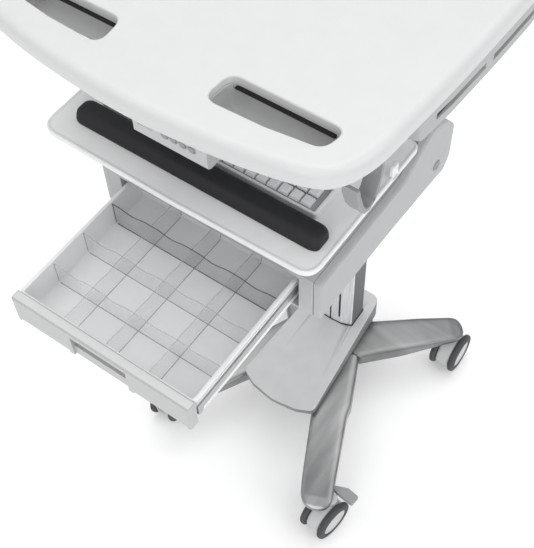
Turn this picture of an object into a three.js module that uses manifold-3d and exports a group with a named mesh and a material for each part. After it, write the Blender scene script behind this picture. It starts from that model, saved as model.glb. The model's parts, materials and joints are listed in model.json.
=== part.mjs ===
// Height-adjustable medication cart: worksurface, keyboard tray, sixteen-bin
// drawer, telescoping column and four-leg caster base.
// Millimetres, +Z up, front towards -Y, floor contact at z = 0.
import * as THREE from "three";
import Module from "manifold-3d";
const wasm = await Module();
wasm.setup();

// ---------------------------------------------------------------- dimensions
const GAP = 0.3;               // clearance between neighbouring pieces
const Y_CENTRE = 365.2;        // middle of the overall front-to-back length
const RIM = 836;               // height of the drawer rim above the floor
const LIFT_DOWN = 347, LIFT_UP = 103;

// drawer
const DR_HALF = 146, DR_LEN = 252, DR_DEEP = 52, DR_WALL = 3, DR_FLOOR = 3;
const FRONT_HALF = 150, FRONT_THICK = 16, FRONT_LOW = 50, PULL_HALF = 47;
const ROWS = [61, 123, 186], COLS = [-72, 0, 72];
const DIV_T = 1.6, DIV_H = 45;

// drawer housing
const HS_FRONT = 220, HS_REAR = 494, HS_HALF = 177.5, HS_TOP = 21.5, HS_BOT = 60;
const PANEL_IN = 178, PANEL_OUT = 190;

// keyboard tray
const TRAY_Z = 976, TRAY_T = 9, TRAY_HALF = 216, TRAY_FRONT = 155, TRAY_REAR = 410;
const REST_LEFT = -185, REST_RIGHT = 201, KB_HALF = 173, KEY_PITCH = 16.9;

// worksurface
const WS_TOP = 1197, WS_T = 31, WS_REAR = 596;
const HOLE_X0 = 73, HOLE_X1 = 226, HOLE_Y0 = 163, HOLE_Y1 = 206;

// column
const COL_Y = 584, COL_HALF = 46, COL_DEEP = 26, COL_WALL = 4;
const COL_BOTTOM = 128, COL_TOP = 430;

// base
const LEG_BOT = 95, LEG_TOP = 127, AXLE_Z = 50, WHEEL_R = 43, TRAIL = 15;
const FLOOR = AXLE_Z - WHEEL_R; // level of the floor contact below the leg and column heights given here
const CASTERS = {
  front_right: { stem: [200, 257], dir: [-0.139, -0.99] },
  front_left: { stem: [-200, 257], dir: [-0.1, 0.995] },
  rear_right: { stem: [212, 716], dir: [0.01, -1] },
  rear_left: { stem: [-212, 716], dir: [0.12, -0.99] },
};
const PAD_FRONT = [180, 244], PAD_REAR = [203, 702]; // rounded ends of the legs

// ---------------------------------------------------------------- helpers
function solid(g) {
  const c = g.index ? g.toNonIndexed() : g.clone();
  c.deleteAttribute("normal"); c.deleteAttribute("uv");
  const p = c.attributes.position, n = p.count;
  const map = new Map(), verts = [], idx = [];
  for (let i = 0; i < n; i++) {
    const x = p.getX(i), y = p.getY(i), z = p.getZ(i);
    const k = Math.round(x * 1e4) + "_" + Math.round(y * 1e4) + "_" + Math.round(z * 1e4);
    let j = map.get(k);
    if (j === undefined) { j = verts.length / 3; verts.push(x, y, z); map.set(k, j); }
    idx.push(j);
  }
  const tri = [];
  for (let i = 0; i < idx.length; i += 3) {
    const [a, b, d] = [idx[i], idx[i + 1], idx[i + 2]];
    if (a !== b && b !== d && a !== d) tri.push(a, b, d);
  }
  return new wasm.Manifold(new wasm.Mesh({ numProp: 3, vertProperties: new Float32Array(verts), triVerts: new Uint32Array(tri) }));
}
function box(x0, x1, y0, y1, z0, z1) {
  const g = new THREE.BoxGeometry(x1 - x0, y1 - y0, z1 - z0);
  g.translate((x0 + x1) / 2, (y0 + y1) / 2, (z0 + z1) / 2);
  return solid(g);
}
function shapeOf(points) {
  const s = new THREE.Shape();
  points.forEach((p, i) => (i ? s.lineTo(p[0], p[1]) : s.moveTo(p[0], p[1])));
  s.closePath();
  return s;
}
// rounds the corners of a polygon; each point is [x, y, radius]
function rounded(points, seg = 4) {
  const out = [], n = points.length;
  for (let i = 0; i < n; i++) {
    const [px, py, r = 0] = points[i];
    if (!r) { out.push([px, py]); continue; }
    const a = points[(i + n - 1) % n], b = points[(i + 1) % n];
    const ua = [a[0] - px, a[1] - py], ub = [b[0] - px, b[1] - py];
    const la = Math.hypot(...ua), lb = Math.hypot(...ub);
    ua[0] /= la; ua[1] /= la; ub[0] /= lb; ub[1] /= lb;
    const ang = Math.acos(Math.max(-1, Math.min(1, ua[0] * ub[0] + ua[1] * ub[1])));
    const t = Math.min(r / Math.tan(ang / 2), la * 0.49, lb * 0.49);
    const p0 = [px + ua[0] * t, py + ua[1] * t], p1 = [px + ub[0] * t, py + ub[1] * t];
    for (let k = 0; k <= seg; k++) {
      const s = k / seg, w0 = (1 - s) * (1 - s), w1 = 2 * s * (1 - s), w2 = s * s;
      out.push([w0 * p0[0] + w1 * px + w2 * p1[0], w0 * p0[1] + w1 * py + w2 * p1[1]]);
    }
  }
  return out;
}
// plan outline raised from z0 to z1
function plan(points, z0, z1) {
  const g = new THREE.ExtrudeGeometry(shapeOf(points), { depth: z1 - z0, bevelEnabled: false });
  g.translate(0, 0, z0);
  return solid(g);
}
// side outline given as [y, z], spread from x0 to x1
function side(points, x0, x1) {
  const g = new THREE.ExtrudeGeometry(shapeOf(points), { depth: x1 - x0, bevelEnabled: false });
  const m = new THREE.Matrix4().set(0, 0, 1, x0, 1, 0, 0, 0, 0, 1, 0, 0, 0, 0, 0, 1);
  g.applyMatrix4(m);
  return solid(g);
}
// front outline given as [x, z], spread from y0 to y1
function face(points, y0, y1) {
  const g = new THREE.ExtrudeGeometry(shapeOf(points), { depth: y1 - y0, bevelEnabled: false });
  const m = new THREE.Matrix4().set(1, 0, 0, 0, 0, 0, -1, y1, 0, 1, 0, 0, 0, 0, 0, 1);
  g.applyMatrix4(m);
  return solid(g);
}
function cyl(axis, c, r, h, seg = 24, r2 = r) {
  const g = new THREE.CylinderGeometry(r2, r, h, seg);
  if (axis === "z") g.rotateX(Math.PI / 2);
  if (axis === "x") g.rotateZ(-Math.PI / 2);
  g.translate(c[0], c[1], c[2]);
  return solid(g);
}
function lathe(profile, seg, axisDir, centre) {
  const g = new THREE.LatheGeometry(profile.map((p) => new THREE.Vector2(p[0], p[1])), seg);
  const q = new THREE.Quaternion().setFromUnitVectors(new THREE.Vector3(0, 1, 0), axisDir);
  g.applyQuaternion(q);
  g.translate(...centre);
  return solid(g);
}
const mirror = (m) => m.mirror([1, 0, 0]);
function rect(x0, x1, y0, y1, r, seg = 4) {
  return rounded([[x0, y0, r], [x1, y0, r], [x1, y1, r], [x0, y1, r]], seg);
}

const group = new THREE.Group();
group.name = "medication_cart";
function add(name, m, color, roughness, metalness) {
  const mesh = m.getMesh();
  const g = new THREE.BufferGeometry();
  const src = mesh.vertProperties, np = mesh.numProp, pos = new Float32Array((src.length / np) * 3);
  for (let i = 0; i < src.length / np; i++) {
    pos[i * 3] = src[i * np]; pos[i * 3 + 1] = src[i * np + 1] - Y_CENTRE; pos[i * 3 + 2] = src[i * np + 2] - FLOOR;
  }
  g.setAttribute("position", new THREE.BufferAttribute(pos, 3));
  g.setIndex(new THREE.BufferAttribute(new Uint32Array(mesh.triVerts), 1));
  g.computeVertexNormals();
  const mat = new THREE.MeshStandardMaterial({ color, roughness, metalness });
  mat.name = name + "_mat";
  const o = new THREE.Mesh(g, mat);
  o.name = name;
  group.add(o);
}
const WHITE = 0xeceef0, LIGHT = 0xc6c8ca, GRAY = 0xbbbdbe, MID = 0xa3a5a7, DARK = 0x3c3e41;

// ---------------------------------------------------------------- base
add("base_hub", plan(rounded([[-61.7, 386, 14], [61.7, 386, 14], [61.7, 640, 20], [-61.7, 640, 20]], 3), LEG_BOT + 2, 128.5)
  .subtract(plan(rect(-40, 40, COL_Y - 20, COL_Y + 20, 4, 2), 110, 140)), 0x9fa1a3, 0.4, 0.8);

function legFR() {
  const [sx, sy] = PAD_FRONT;
  const p = [[62.2, 400], [79, 384], [150, 236]];
  for (let k = 0; k <= 6; k++) { const a = Math.PI * (1.08 + (0.98 * k) / 6); p.push([sx + 29 * Math.cos(a), sy + 29 * Math.sin(a)]); }
  p.push([215, 248], [217, 272], [201, 284], [134, 439], [91, 532], [88, 534.6], [62.2, 534.6]);
  const prof = [[200, 104.3], [310, 104.3], [430, LEG_BOT], [540, LEG_BOT], [540, LEG_TOP], [420, LEG_TOP], [300, 125.5], [245, 123], [226, 119], [218, 113], [200, 110]];
  return plan(p, 80, 140).intersect(side(prof, 50, 260));
}
function legRR() {
  const [sx, sy] = PAD_REAR;
  const p = [[62.2, 535.4], [91, 535.8], [186, 636], [221, 681]];
  for (let k = 0; k <= 6; k++) { const a = Math.PI * (-0.17 + (1.0 * k) / 6); p.push([sx + 27 * Math.cos(a), sy + 27 * Math.sin(a)]); }
  p.push([62.2, 628]);
  const prof = [[530, LEG_BOT], [600, LEG_BOT], [640, 104.3], [740, 104.3], [740, 110], [731, 113], [722, 119], [700, 124], [640, LEG_TOP], [530, LEG_TOP]];
  return plan(p, 80, 140).intersect(side(prof, 50, 260));
}
const fr = legFR(), rr = legRR();
add("leg_front_right", fr, 0xb9bbbd, 0.2, 0.9);
add("leg_front_left", mirror(fr), 0xb9bbbd, 0.2, 0.9);
add("leg_rear_right", rr, 0xb9bbbd, 0.2, 0.9);
add("leg_rear_left", mirror(rr), 0xb9bbbd, 0.2, 0.9);

const coverPlan = rounded([[-84, 372, 16], [-50, 357, 30], [0, 350, 60], [50, 357, 30], [84, 372, 16], [60, 652, 22], [-60, 652, 22]], 4);
const coverSide = [[340, 129.3], [660, 129.3], [660, 176], [600, 171.5], [480, 157.5], [360, 142], [340, 138]];
add("base_cover", plan(coverPlan, 120, 190).intersect(side(coverSide, -100, 100))
  .subtract(plan(columnOutline(0.6), 120, 200)), LIGHT, 0.5, 0);

function columnOutline(grow, seg = 5) {
  const h = COL_HALF + grow, y0 = COL_Y - COL_DEEP - grow, y1 = COL_Y + COL_DEEP + grow;
  return rounded([[-h, y0 + 9, 5], [-h * 0.55, y0 + 1.5, 20], [0, y0, 30], [h * 0.55, y0 + 1.5, 20], [h, y0 + 9, 5], [h, y1, 5], [-h, y1, 5]], seg);
}
const tube = (o, z0, z1, wall) => plan(columnOutline(-o, 3), z0, z1).subtract(plan(columnOutline(-o - wall, 3), z0 - 5, z1 + 5));
let outer = tube(0, COL_BOTTOM + 1.2, COL_TOP, COL_WALL);
for (const [x, a, b] of [[-20, 150, 404], [20, 190, 404], [0, 150, 404]])
  outer = outer.subtract(box(x - 1.6, x + 1.6, COL_Y - COL_DEEP - 5, COL_Y - COL_DEEP + 3.2, a, b));
add("column_outer", outer, 0xe3e6e8, 0.28, 0.75);
const seat = 169.8;
add("column_gasket", plan(columnOutline(3.4, 3), seat, seat + 8).subtract(plan(columnOutline(0.35, 3), seat - 9, seat + 20))
  .subtract(side([[500, 100], [700, 100], [700, 181.1], [600, 171.9], [530, 163.8], [500, 160.3]], -100, 100)), 0x1d1f21, 0.8, 0);

// ---------------------------------------------------------------- casters
function caster(key, c) {
  const d = new THREE.Vector3(c.dir[0], c.dir[1], 0).normalize();
  const ax = new THREE.Vector3(-d.y, d.x, 0);
  const cx = c.stem[0] + d.x * TRAIL, cy = c.stem[1] + d.y * TRAIL;
  const local = (m) => m.rotate([0, 0, (Math.atan2(d.y, d.x) * 180) / Math.PI]).translate([c.stem[0], c.stem[1], 0]);
  // hood in its own frame: +x is the trailing direction, wheels on y
  let hood = cyl("y", [TRAIL, 0, AXLE_Z], 38, 28.8, 40).subtract(box(-80, 120, -30, 30, 0, 40));
  hood = hood.subtract(cyl("y", [TRAIL, 0, AXLE_Z], 6.4, 60, 16));
  hood = hood.add(cyl("z", [0, 0, 89.5], 14.2, 29, 28));
  add("caster_" + key + "_hood", local(hood), 0xb4b6b8, 0.5, 0);
  // wheels
  const tyre = [[30, -6.5], [38, -6.5], [41.6, -4.8], [43, -2], [43, 2], [41.6, 4.8], [38, 6.5], [30, 6.5], [30, -6.5]];
  for (const [side_, s] of [["a", 1], ["b", -1]]) {
    add("caster_" + key + "_tyre_" + side_, lathe(tyre, 30, ax, [cx + ax.x * 21.5 * s, cy + ax.y * 21.5 * s, AXLE_Z]), 0x55575a, 0.75, 0);
  }
  const hub = lathe([[0, -29], [8, -29], [10, -27.6], [29.6, -26.4], [29.6, -15.2], [5.8, -14.8], [5.8, 14.8], [29.6, 15.2], [29.6, 26.4], [10, 27.6], [8, 29], [0, 29]], 20, ax, [cx, cy, AXLE_Z]);
  add("caster_" + key + "_wheel_hub", hub, 0xc2c4c6, 0.45, 0);
  // brake pedal ahead of the stem, beside the hood
  if (key.startsWith("front")) {
    const plate = rounded([[-15.8, -8], [-15.8, 12], [-17, 40, 4], [-37, 40, 4], [-37, 14, 4], [-24, -8, 3]], 3);
    let pedal = plan(plate, 92, 103.4).subtract(plan([[-50, -20], [-22, -20], [-22, 60], [-50, 60]], 80, 95.5));
    if (c.stem[0] < 0) pedal = pedal.mirror([0, 1, 0]);
    add("caster_" + key + "_brake_pedal", local(pedal), 0xa9abad, 0.55, 0);
  }
}
for (const [k, c] of Object.entries(CASTERS)) caster(k, c);

// ---------------------------------------------------------------- moving column stages
const midOff = COL_WALL + 0.5, inOff = midOff + COL_WALL + 0.5;
add("column_middle", tube(midOff, 132 + LIFT_DOWN / 2, 431.5 + LIFT_DOWN / 2, COL_WALL), 0xd6d9db, 0.3, 0.75);
add("column_inner", tube(inOff, 136 + LIFT_DOWN, 1150, COL_WALL), 0xdcdfe1, 0.3, 0.75);

// ---------------------------------------------------------------- head
let head = box(-PANEL_IN + GAP, PANEL_IN - GAP, 500, 555, RIM - 36, RIM + 46);
head = head.add(plan(rect(-58, 58, 548, 616, 8, 3), RIM - 36, RIM + 60).subtract(plan(columnOutline(-inOff + 0.4, 3), 700, 1000)));
head = head.add(box(-58, 58, 520, 555, RIM + 40, 1152));
head = head.add(plan(rect(-75, 75, 300, 540, 12, 3), TRAY_Z - TRAY_T - 22, TRAY_Z - TRAY_T - GAP));
head = head.add(plan(rect(-150, 150, 250, 590, 20, 3), 1151, WS_TOP - WS_T - GAP));
head = head.subtract(box(-PANEL_IN + 12, PANEL_IN - 12, 508, 640, RIM - 60, RIM + 34).subtract(box(-70, 70, 500, 660, RIM - 80, RIM + 60)));
add("head_bracket", head, MID, 0.55, 0);

// ---------------------------------------------------------------- worksurface
const half = [[112, 116], [163, 123], [210, 133], [236, 143], [251, 157], [262, 178], [270, 210], [274, 262], [280, 350], [284, 450], [286, 520], [285, 562], [276, 584], [256, 595]];
const ring = [[0, 109], [60, 111.5], ...half, [0, WS_REAR], ...half.slice().reverse().map(([x, y]) => [-x, y]), [-60, 111.5]];
const BEV = 9;
function inset(points, d) {
  const n = points.length, out = [];
  for (let i = 0; i < n; i++) {
    const a = points[(i + n - 1) % n], p = points[i], b = points[(i + 1) % n];
    const t1 = [p[0] - a[0], p[1] - a[1]], t2 = [b[0] - p[0], b[1] - p[1]];
    const l1 = Math.hypot(...t1), l2 = Math.hypot(...t2);
    const n1 = [-t1[1] / l1, t1[0] / l1], n2 = [-t2[1] / l2, t2[0] / l2];
    let m = [n1[0] + n2[0], n1[1] + n2[1]]; const lm = Math.hypot(...m); m = [m[0] / lm, m[1] / lm];
    const k = d / Math.max(0.5, m[0] * n1[0] + m[1] * n1[1]);
    out.push([p[0] + m[0] * k, p[1] + m[1] * k]);
  }
  return out;
}
const slab = new THREE.ExtrudeGeometry(shapeOf(inset(ring, BEV)), { depth: WS_T - 2 * BEV, bevelEnabled: true, bevelThickness: BEV, bevelSize: BEV, bevelSegments: 4 });
slab.translate(0, 0, WS_TOP - WS_T + BEV);
const holePts = rounded([[HOLE_X0, HOLE_Y0 - 3, 16], [150, HOLE_Y0, 40], [HOLE_X1 - 8, HOLE_Y0 + 9, 18], [HOLE_X1, HOLE_Y1, 14], [HOLE_X0 + 4, HOLE_Y1, 16]], 5);
let ws = solid(slab);
const LEVER_Z0 = 1174, LEVER_Z1 = 1183, WELL_Z = 1134;
const pocket = box(82, 216, HOLE_Y1 - 4, HOLE_Y1 + 13, LEVER_Z0 - 1, LEVER_Z1 + 1);
const well = plan(inset(holePts, -3), WELL_Z, WS_TOP - WS_T + 5);
const hole = plan(holePts, WELL_Z - 5, WS_TOP + 20).add(pocket);
ws = ws.add(well).add(mirror(well)).subtract(hole).subtract(mirror(hole));
add("worksurface", ws, WHITE, 0.35, 0);
const lever = plan(rect(84, 214, HOLE_Y1 - 5, HOLE_Y1 + 6, 3, 2), LEVER_Z0, LEVER_Z1);
add("release_lever_right", lever, 0x1b1c1e, 0.5, 0);
add("release_lever_left", mirror(lever), 0x1b1c1e, 0.5, 0);

// side rails under the long edges
const railPlan = [[252, 286], [270, 290], [276, 350], [281, 450], [283, 520], [282, 556], [262, 556]];
let rail = plan(rounded(railPlan.map((p, i) => (i === 1 || i === 5 ? [...p, 8] : p)), 3), 1127, WS_TOP - WS_T - GAP);
rail = rail.subtract(plan([[268, 318], [300, 318], [300, 418], [273, 418]], 1140, 1150)).subtract(plan([[272, 434], [300, 434], [300, 530], [275, 530]], 1140, 1150));
add("side_rail_right", rail, 0xbfc1c3, 0.5, 0);
add("side_rail_left", mirror(rail), 0xbfc1c3, 0.5, 0);

// keypad module under the front centre
const KP_Y = 172, KP_Z0 = 1052, KP_Z1 = 1112;
let pad = side(rounded([[KP_Y, KP_Z0 + 4, 3], [KP_Y + 6, KP_Z0, 3], [KP_Y + 70, KP_Z0, 5], [KP_Y + 70, KP_Z1, 5], [KP_Y, KP_Z1, 6]], 3), -54, 59);
pad = pad.add(box(-34, 34, KP_Y + 18, KP_Y + 60, KP_Z1 - 4, WS_TOP - WS_T - GAP));
const KEYX = [-4, 9.6, 23.2, 36.8];
for (const x of KEYX) pad = pad.subtract(cyl("y", [x, KP_Y, KP_Z0 + 25], 5.4, 10, 20));
pad = pad.subtract(box(-46, -24, KP_Y - 1, KP_Y + 1.6, KP_Z0 + 20, KP_Z0 + 29));
add("keypad_module", pad, 0xd5d7d9, 0.45, 0);
KEYX.forEach((x, i) => add("keypad_button_" + (i + 1), cyl("y", [x, KP_Y + 0.6, KP_Z0 + 25], 5, 4.8, 20), 0x9a9c9e, 0.5, 0));

// accessory hook under the right front corner
const hookSide = [[202, 1112], [207, 1112], [209, 1100], [217, 1074], [224, 1061], [232, 1057], [240, 1061], [247, 1075], [252, 1092], [258, 1148], [258, WS_TOP - WS_T - GAP], [286, WS_TOP - WS_T - GAP], [286, 1161], [263, 1161], [263, 1147], [257, 1090], [252, 1072], [243, 1056], [231, 1050.5], [220, 1055], [211, 1072], [203, 1098]];
add("accessory_hook", side(hookSide, 224, 246), 0x8b8d8f, 0.5, 0.1);

// ---------------------------------------------------------------- keyboard tray
let tray = plan(rounded([[-TRAY_HALF, TRAY_FRONT + 2, 26], [0, TRAY_FRONT - 1, 0], [TRAY_HALF, TRAY_FRONT + 2, 26], [TRAY_HALF, TRAY_REAR, 14], [-TRAY_HALF, TRAY_REAR, 14]], 6), TRAY_Z - TRAY_T, TRAY_Z);
const ear = side(rounded([[341, TRAY_Z - 4], [341, TRAY_Z + 20, 3], [354, TRAY_Z + 20, 3], [354, TRAY_Z - 4]], 3), TRAY_HALF - 6, TRAY_HALF - 0.01);
tray = tray.add(ear).add(mirror(ear));
add("keyboard_tray", tray, 0xdfe1e3, 0.4, 0);
const restSide = [[187, TRAY_Z + GAP], [189, TRAY_Z + 10], [199, TRAY_Z + 20], [216, TRAY_Z + 19], [224, TRAY_Z + 12], [225, TRAY_Z + GAP]];
const restPlan = rounded([[REST_LEFT, 187, 12], [REST_RIGHT, 187, 12], [REST_RIGHT, 225, 14], [REST_LEFT, 225, 14]], 5);
add("wrist_rest", side(restSide, -210, 210).intersect(plan(restPlan, 900, 1020)), 0x303236, 0.85, 0);
const kbSide = [[231, TRAY_Z + GAP], [372, TRAY_Z + GAP], [372, TRAY_Z + 17], [231, TRAY_Z + 11]];
add("keyboard_body", side(kbSide, -KB_HALF, KB_HALF).subtract(side([[235, TRAY_Z + 8.5], [346, TRAY_Z + 13.2], [346, TRAY_Z + 30], [235, TRAY_Z + 30]], -KB_HALF + 5, KB_HALF - 5)), 0xe6e8ea, 0.45, 0);
const slope = (13.2 - 8.5) / 111;
let keys = side([[235.5, TRAY_Z + 8.9], [345.5, TRAY_Z + 13.5], [345.5, TRAY_Z + 14.7], [235.5, TRAY_Z + 10.1]], -KB_HALF + 5.5, KB_HALF - 5.5);
const nCol = 19, x0 = -(nCol * KEY_PITCH) / 2;
for (let r = 0; r < 6; r++) {
  const y0 = 237.4 + r * 17.9, zz = TRAY_Z + 9.4 + (y0 - 235) * slope;
  let c = 0;
  while (c < nCol) {
    let w = 1;
    if (r === 0 && c === 4) w = 6;
    if ((r === 1 || r === 2) && c === 0) w = 2;
    if (r === 1 && c === 12) w = 2;
    const k = box(x0 + c * KEY_PITCH + 1.2, x0 + (c + w) * KEY_PITCH - 1.2, y0, y0 + 14.6, zz, zz + 4.6);
    keys = keys.add(k);
    c += w;
  }
}
add("keyboard_keys", keys, 0xf0f1f2, 0.5, 0);

// ---------------------------------------------------------------- drawer housing
let house = box(-HS_HALF, HS_HALF, HS_FRONT, HS_REAR, RIM - HS_BOT, RIM + HS_TOP);
house = house.subtract(box(-FRONT_HALF - 4, FRONT_HALF + 4, HS_FRONT - 10, HS_REAR - 4, RIM - 56, RIM + 12));
house = house.add(box(-FRONT_HALF - 6, -FRONT_HALF + 1, HS_FRONT + 18, HS_REAR - 2, RIM - 34, RIM - 20))
  .add(box(FRONT_HALF - 1, FRONT_HALF + 6, HS_FRONT + 18, HS_REAR - 2, RIM - 34, RIM - 20));
add("drawer_housing", house, MID, 0.5, 0);
const panelSide = rounded([[221, RIM - 62, 6], [330, RIM - 60], [400, RIM - 61], [530, RIM - 70], [556, RIM - 74, 14], [573, RIM - 50, 12], [573, RIM + 16, 12], [550, RIM + 44, 20], [508, RIM + 66, 22], [470, RIM + 48, 14], [436, RIM + 23, 14], [300, RIM + 22], [221, RIM + 22, 8]], 4);
let panel = side(panelSide, PANEL_IN, PANEL_OUT);
panel = panel.subtract(plan([[PANEL_OUT - 9, 210], [PANEL_OUT + 6, 210], [PANEL_OUT + 6, 234]], 700, 960));
panel = panel.subtract(cyl("x", [PANEL_OUT, 528, RIM - 34], 9.3, 3, 24));
add("side_panel_right", panel, GRAY, 0.5, 0);
add("side_panel_left", mirror(panel), GRAY, 0.5, 0);
const capDisc = cyl("x", [PANEL_OUT + 0.4, 528, RIM - 34], 9, 3, 24).subtract(cyl("x", [PANEL_OUT + 2, 528, RIM - 34], 5, 1.6, 20));
add("screw_cap_right", capDisc, 0xa0a2a4, 0.5, 0);
add("screw_cap_left", mirror(capDisc), 0xa0a2a4, 0.5, 0);

// ---------------------------------------------------------------- drawer
let tub = box(-DR_HALF, DR_HALF, 0, DR_LEN, RIM - DR_DEEP, RIM).subtract(box(-DR_HALF + DR_WALL, DR_HALF - DR_WALL, DR_WALL, DR_LEN - DR_WALL, RIM - DR_DEEP + DR_FLOOR, RIM + 10));
// folded rim along both long walls
for (const s of [1, -1]) {
  const a = s > 0 ? DR_HALF - 1 : -DR_HALF - 3, b = s > 0 ? DR_HALF + 3 : -DR_HALF + 1;
  tub = tub.add(box(a, b, 0, DR_LEN, RIM - 6, RIM));
}
add("drawer_tub", tub, 0xe4e6e8, 0.3, 0);
let front = plan(rounded([[-FRONT_HALF, -FRONT_THICK, 4], [FRONT_HALF, -FRONT_THICK, 4], [FRONT_HALF, -GAP], [-FRONT_HALF, -GAP]], 3), RIM - FRONT_LOW, RIM + 1);
front = front.subtract(box(-PULL_HALF, PULL_HALF, -FRONT_THICK - 5, -FRONT_THICK + 11, RIM - 30, RIM - 6));
front = front.subtract(box(-PULL_HALF, PULL_HALF, -FRONT_THICK - 5, -FRONT_THICK + 4, RIM - FRONT_LOW - 5, RIM - 27));
front = front.subtract(box(-FRONT_HALF + 6, -PULL_HALF - 8, -FRONT_THICK - 5, -FRONT_THICK + 2.5, RIM - FRONT_LOW - 5, RIM - FRONT_LOW + 5))
  .subtract(box(PULL_HALF + 8, FRONT_HALF - 6, -FRONT_THICK - 5, -FRONT_THICK + 2.5, RIM - FRONT_LOW - 5, RIM - FRONT_LOW + 5));
add("drawer_front", front, 0xdadcde, 0.4, 0);
for (const [n, s] of [["right", 1], ["left", -1]]) {
  const a = s > 0 ? DR_HALF + GAP : -DR_HALF - 2.6, b = s > 0 ? DR_HALF + 2.6 : -DR_HALF - GAP;
  let r = box(a, b, 4, DR_LEN, RIM - 33.4, RIM - 20.6);
  r = r.add(cyl("x", [s * (DR_HALF + 1.45), 9, RIM - 36], 6, 2.3, 16));
  add("drawer_runner_" + n, r, 0x9b9da0, 0.4, 0.4);
}
const zf = RIM - DR_DEEP + DR_FLOOR + GAP, zt = zf + DIV_H, zm = (zf + zt) / 2;
const inner = DR_HALF - DR_WALL - 0.4;
const rowXs = [-inner, ...COLS, inner];
ROWS.forEach((y, i) => {
  const top = [];
  for (let k = rowXs.length - 1; k > 0; k--) {
    const a = rowXs[k], b = rowXs[k - 1], w = (a - b) / 2 - 10, m = (a + b) / 2;
    top.push([a - (k === rowXs.length - 1 ? 0 : 0), zt], [m + w, zt], [m + w * 0.62, zt - 5.2], [m + w * 0.2, zt - 7], [m - w * 0.2, zt - 7], [m - w * 0.62, zt - 5.2], [m - w, zt]);
  }
  top.push([-inner, zt]);
  let d = face([[-inner, zf], [inner, zf], ...top], y - DIV_T / 2, y + DIV_T / 2);
  for (const x of COLS) d = d.subtract(box(x - DIV_T / 2 - 0.4, x + DIV_T / 2 + 0.4, y - 4, y + 4, zm, zt + 5));
  add("divider_long_" + (i + 1), d, 0xd3d6d8, 0.15, 0);
});
COLS.forEach((x, i) => {
  let d = box(x - DIV_T / 2, x + DIV_T / 2, DR_WALL + 0.4, DR_LEN - DR_WALL - 0.4, zf, zt - 0.5);
  for (const y of ROWS) d = d.subtract(box(x - 4, x + 4, y - DIV_T / 2 - 0.4, y + DIV_T / 2 + 0.4, zf - 5, zm + 0.4));
  add("divider_cross_" + (i + 1), d, 0xd3d6d8, 0.15, 0);
});

export default group;
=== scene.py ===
import json
import math
import bmesh
import bpy
from mathutils import Matrix, Vector


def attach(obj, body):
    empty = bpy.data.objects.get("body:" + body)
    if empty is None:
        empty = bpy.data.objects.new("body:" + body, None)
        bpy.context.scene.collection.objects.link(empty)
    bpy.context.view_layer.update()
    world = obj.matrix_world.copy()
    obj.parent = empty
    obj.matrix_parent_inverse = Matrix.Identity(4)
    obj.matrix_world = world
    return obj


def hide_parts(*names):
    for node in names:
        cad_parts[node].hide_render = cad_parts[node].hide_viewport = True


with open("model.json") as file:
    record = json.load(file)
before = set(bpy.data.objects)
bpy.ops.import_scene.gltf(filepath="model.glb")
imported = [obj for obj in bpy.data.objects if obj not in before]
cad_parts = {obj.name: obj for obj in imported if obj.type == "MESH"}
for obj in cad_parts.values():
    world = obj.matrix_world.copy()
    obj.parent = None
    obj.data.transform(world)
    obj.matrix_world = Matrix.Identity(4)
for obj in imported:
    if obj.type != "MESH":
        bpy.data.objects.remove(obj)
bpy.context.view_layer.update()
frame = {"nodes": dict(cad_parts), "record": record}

NODES = frame["nodes"]
BODY_OF = {}
for _b, _names in frame["record"]["behaviour"]["bodies"].items():
    for _n in _names:
        BODY_OF[_n] = _b
SLOT_OF = {s["node"]: s["material_slot"] for s in frame["record"]["subparts"]}

Y_CENTRE = 365.2
FLOOR_Z = 7.0
RIM = 836.0
WS_TOP, WS_T = 1197.0, 31.0
TRAY_Z, TRAY_T = 976.0, 9.0
COL_Y, COL_HALF, COL_DEEP = 584.0, 46.0, 26.0
CASTERS = {
    "front_right": ((200.0, 257.0), (-0.139, -0.99)),
    "front_left": ((-200.0, 257.0), (-0.1, 0.995)),
    "rear_right": ((212.0, 716.0), (0.01, -1.0)),
    "rear_left": ((-212.0, 716.0), (0.12, -0.99)),
}


def P(x, y, z):
    return Vector((x / 1000.0, (y - Y_CENTRE) / 1000.0, (z - FLOOR_Z) / 1000.0))


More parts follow.
